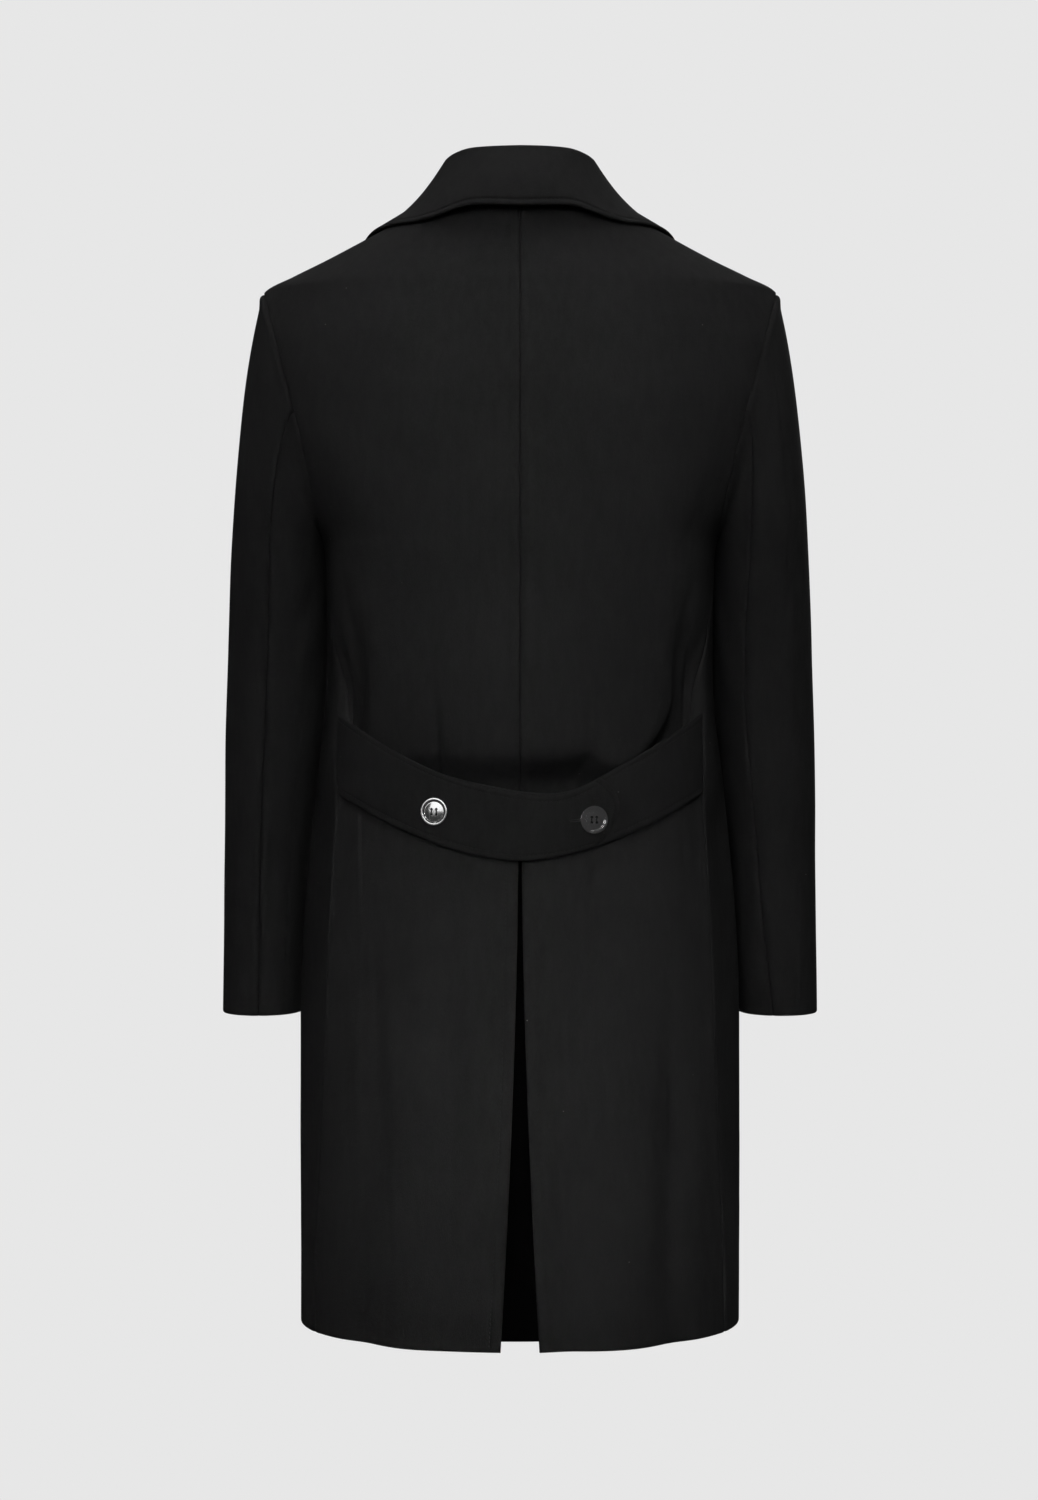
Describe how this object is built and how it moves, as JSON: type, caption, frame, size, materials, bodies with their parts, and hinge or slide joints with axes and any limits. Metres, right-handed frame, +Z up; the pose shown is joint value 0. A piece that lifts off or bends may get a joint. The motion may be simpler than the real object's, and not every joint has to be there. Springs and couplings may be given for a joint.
{
  "type": "double-breasted coat",
  "caption": "Knee-length black wool overcoat with a wide collar, buttoned half belt and inverted back pleat, filled out as worn.",
  "frame": {"origin": "middle of the neck opening, level with the seam at the centre back of the neck, where the wearer's neck and shoulders hold the coat", "axes": "+Z up along the coat's length, -Y the way the wearer faces, +X towards the wearer's left"},
  "size_m": [0.5498, 0.3163, 1.0676],
  "materials": {
    "black_wool": "matt felted wool with a short nap",
    "dark_horn": "polished"
  },
  "bodies": {
    "root": {"back_left": "black_wool", "back_right": "black_wool", "pleat": "black_wool", "front_left": "black_wool", "front_right": "black_wool", "lapel_left": "black_wool", "lapel_right": "black_wool", "collar": "black_wool", "collar_stand": "black_wool", "top_sleeve_left": "black_wool", "top_sleeve_right": "black_wool", "under_sleeve_left": "black_wool", "under_sleeve_right": "black_wool", "half_belt_left": "black_wool", "half_belt_right": "black_wool", "belt_button_left": "dark_horn", "belt_button_right": "dark_horn", "front_button_left_1": "dark_horn", "front_button_right_1": "dark_horn", "front_button_left_2": "dark_horn", "front_button_right_2": "dark_horn", "front_button_left_3": "dark_horn", "front_button_right_3": "dark_horn"}
  },
  "joints": []
}
